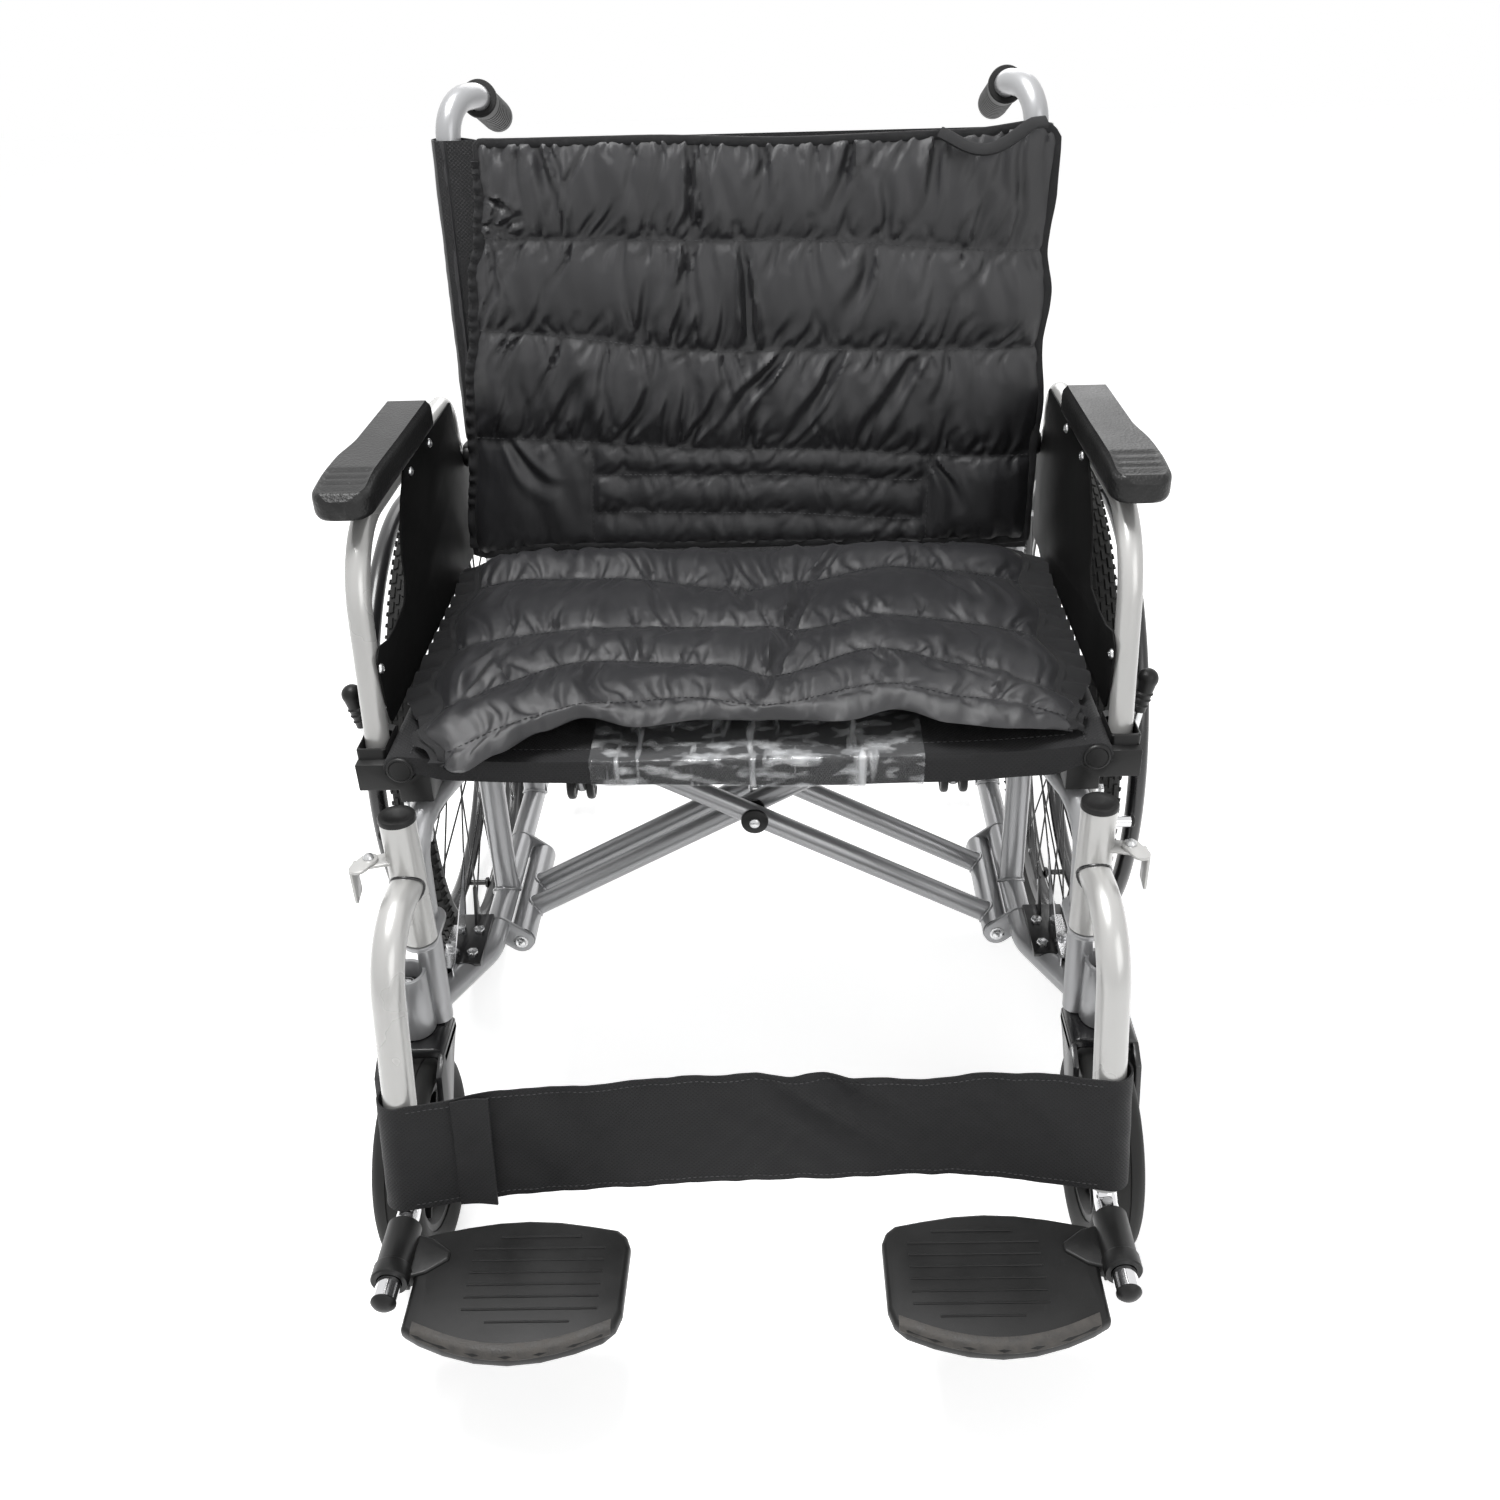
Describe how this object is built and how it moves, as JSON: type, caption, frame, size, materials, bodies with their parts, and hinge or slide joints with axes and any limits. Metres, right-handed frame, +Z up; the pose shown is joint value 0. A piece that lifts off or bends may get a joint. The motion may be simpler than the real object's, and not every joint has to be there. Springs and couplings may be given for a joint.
{
  "type": "bariatric wheelchair",
  "caption": "Wide folding wheelchair with padded seat and back, flip-back arms, swing-away footrests, casters, wheel locks and anti-tip wheels.",
  "frame": {"origin": "middle of the footprint on the floor", "axes": "+X to the right seen from the front, -Y the front of the chair, +Z up"},
  "size_m": [0.827, 1.102, 0.9998],
  "materials": {
    "silver": "satin metallic",
    "black_metal": "satin",
    "chrome": "bright",
    "tyre": "matte",
    "rubber": "matte",
    "plastic": "fine grain",
    "pad": "grained soft skin",
    "cloth": "plain weave",
    "quilt": "satin quilted"
  },
  "bodies": {
    "left_side": {"side_frame_left": "silver", "back_cane_left": "silver", "push_grip_left": "rubber", "seat_guide_left": "plastic", "rear_axle_left": "chrome", "brake_bracket_left": "black_metal", "anti_tip_bar_left": "silver", "back_sling": "cloth", "back_cushion": "quilt"},
    "brace_a": {"brace_leg_a": "silver"},
    "brace_b": {"brace_leg_b": "silver", "brace_pivot_front": "chrome", "brace_pivot_rear": "chrome", "seat_sling": "cloth", "seat_cushion": "quilt"},
    "right_side": {"side_frame_right": "silver", "back_cane_right": "silver", "push_grip_right": "rubber", "seat_guide_right": "plastic", "rear_axle_right": "chrome", "brake_bracket_right": "black_metal", "anti_tip_bar_right": "silver"},
    "wheel_left": {"tyre_left": "tyre", "rim_left": "black_metal", "wheel_hub_left": "black_metal", "handrim_left": "black_metal"},
    "caster_left": {"caster_fork_left": "black_metal", "caster_axle_left": "chrome"},
    "caster_wheel_left": {"caster_tyre_left": "tyre", "caster_hub_left": "plastic"},
    "arm_left": {"arm_tube_left": "silver", "arm_pad_left": "pad", "side_panel_left": "plastic"},
    "hanger_left": {"hanger_left": "silver", "calf_strap_left": "cloth"},
    "release_left": {"release_lever_left": "chrome"},
    "leg_left": {"leg_extension_left": "chrome"},
    "footrest_left": {"footplate_left": "plastic"},
    "brake_lever_left": {"brake_lever_left": "plastic"},
    "brake_shoe_left": {"brake_shoe_left": "chrome"},
    "anti_tip_left": {"anti_tip_wheel_left": "rubber"},
    "wheel_right": {"tyre_right": "tyre", "rim_right": "black_metal", "wheel_hub_right": "black_metal", "handrim_right": "black_metal"},
    "caster_right": {"caster_fork_right": "black_metal", "caster_axle_right": "chrome"},
    "caster_wheel_right": {"caster_tyre_right": "tyre", "caster_hub_right": "plastic"},
    "arm_right": {"arm_tube_right": "silver", "arm_pad_right": "pad", "side_panel_right": "plastic"},
    "hanger_right": {"hanger_right": "silver", "calf_strap_right": "cloth"},
    "release_right": {"release_lever_right": "chrome"},
    "leg_right": {"leg_extension_right": "chrome"},
    "footrest_right": {"footplate_right": "plastic"},
    "brake_lever_right": {"brake_lever_right": "plastic"},
    "brake_shoe_right": {"brake_shoe_right": "chrome"},
    "anti_tip_right": {"anti_tip_wheel_right": "rubber"}
  },
  "joints": [
    {"name": "frame_fold", "type": "hinge", "parent": "left_side", "child": "brace_a", "pos_m": [-0.2515, -0.099, 0.213], "axis": [0, -1, 0], "range_deg": [0, 28], "deforming": ["back_sling", "back_cushion", "seat_sling", "seat_cushion", "calf_strap_left", "calf_strap_right"]},
    {"name": "brace_cross", "type": "hinge", "parent": "brace_a", "child": "brace_b", "pos_m": [0, -0.072, 0.3475], "axis": [0, -1, 0], "range_deg": [-56, 0]},
    {"name": "right_spread", "type": "hinge", "parent": "brace_b", "child": "right_side", "pos_m": [0.2515, -0.099, 0.213], "axis": [0, -1, 0], "range_deg": [0, 28]},
    {"name": "wheel_spin_left", "type": "hinge", "parent": "left_side", "child": "wheel_left", "pos_m": [-0.36, 0.246, 0.305], "axis": [1, 0, 0], "continuous": true},
    {"name": "caster_swivel_left", "type": "hinge", "parent": "left_side", "child": "caster_left", "pos_m": [-0.332, -0.239, 0.235], "axis": [0, 0, 1], "continuous": true},
    {"name": "caster_spin_left", "type": "hinge", "parent": "caster_left", "child": "caster_wheel_left", "pos_m": [-0.332, -0.293, 0.1], "axis": [1, 0, 0], "continuous": true},
    {"name": "arm_flip_left", "type": "hinge", "parent": "left_side", "child": "arm_left", "pos_m": [-0.336, 0.254, 0.628], "axis": [-1, 0, 0], "range_deg": [0, 90]},
    {"name": "hanger_swing_left", "type": "hinge", "parent": "left_side", "child": "hanger_left", "pos_m": [-0.305, -0.256, 0.4], "axis": [0, 0, -1], "range_deg": [0, 75]},
    {"name": "release_left", "type": "hinge", "parent": "hanger_left", "child": "release_left", "pos_m": [-0.334, -0.264, 0.4345], "axis": [0, 0, -1], "range_deg": [0, 25]},
    {"name": "leg_length_left", "type": "slide", "parent": "hanger_left", "child": "leg_left", "axis": [-0.0161, -0.2092, -0.9777], "range_m": [0, 0.05]},
    {"name": "footplate_flip_left", "type": "hinge", "parent": "leg_left", "child": "footrest_left", "pos_m": [-0.31226, -0.4205, 0.146], "axis": [0, -1, 0], "range_deg": [0, 90]},
    {"name": "brake_left", "type": "hinge", "parent": "left_side", "child": "brake_lever_left", "pos_m": [-0.361, -0.12, 0.43], "axis": [1, 0, 0], "range_deg": [0, 40]},
    {"name": "brake_shoe_left", "type": "hinge", "parent": "left_side", "child": "brake_shoe_left", "pos_m": [-0.336, -0.106, 0.392], "axis": [1, 0, 0], "range_deg": [0, 8.5]},
    {"name": "anti_tip_spin_left", "type": "hinge", "parent": "left_side", "child": "anti_tip_left", "pos_m": [-0.28855, 0.481, 0.047], "axis": [1, 0, 0], "continuous": true},
    {"name": "wheel_spin_right", "type": "hinge", "parent": "right_side", "child": "wheel_right", "pos_m": [0.36, 0.246, 0.305], "axis": [1, 0, 0], "continuous": true},
    {"name": "caster_swivel_right", "type": "hinge", "parent": "right_side", "child": "caster_right", "pos_m": [0.332, -0.239, 0.235], "axis": [0, 0, 1], "continuous": true},
    {"name": "caster_spin_right", "type": "hinge", "parent": "caster_right", "child": "caster_wheel_right", "pos_m": [0.332, -0.293, 0.1], "axis": [1, 0, 0], "continuous": true},
    {"name": "arm_flip_right", "type": "hinge", "parent": "right_side", "child": "arm_right", "pos_m": [0.336, 0.254, 0.628], "axis": [-1, 0, 0], "range_deg": [0, 90]},
    {"name": "hanger_swing_right", "type": "hinge", "parent": "right_side", "child": "hanger_right", "pos_m": [0.305, -0.256, 0.4], "axis": [0, 0, 1], "range_deg": [0, 75]},
    {"name": "release_right", "type": "hinge", "parent": "hanger_right", "child": "release_right", "pos_m": [0.334, -0.264, 0.4345], "axis": [0, 0, 1], "range_deg": [0, 25]},
    {"name": "leg_length_right", "type": "slide", "parent": "hanger_right", "child": "leg_right", "axis": [0.0161, -0.2092, -0.9777], "range_m": [0, 0.05]},
    {"name": "footplate_flip_right", "type": "hinge", "parent": "leg_right", "child": "footrest_right", "pos_m": [0.31226, -0.4205, 0.146], "axis": [0, 1, 0], "range_deg": [0, 90]},
    {"name": "brake_right", "type": "hinge", "parent": "right_side", "child": "brake_lever_right", "pos_m": [0.361, -0.12, 0.43], "axis": [1, 0, 0], "range_deg": [0, 40]},
    {"name": "brake_shoe_right", "type": "hinge", "parent": "right_side", "child": "brake_shoe_right", "pos_m": [0.336, -0.106, 0.392], "axis": [1, 0, 0], "range_deg": [0, 8.5]},
    {"name": "anti_tip_spin_right", "type": "hinge", "parent": "right_side", "child": "anti_tip_right", "pos_m": [0.28855, 0.481, 0.047], "axis": [1, 0, 0], "continuous": true}
  ],
  "couplings": [
    {"joint": "brace_cross", "follows": "frame_fold", "ratio": -2},
    {"joint": "right_spread", "follows": "frame_fold", "ratio": 1},
    {"joint": "brake_shoe_left", "follows": "brake_left", "ratio": 0.2125},
    {"joint": "brake_shoe_right", "follows": "brake_right", "ratio": 0.2125}
  ]
}
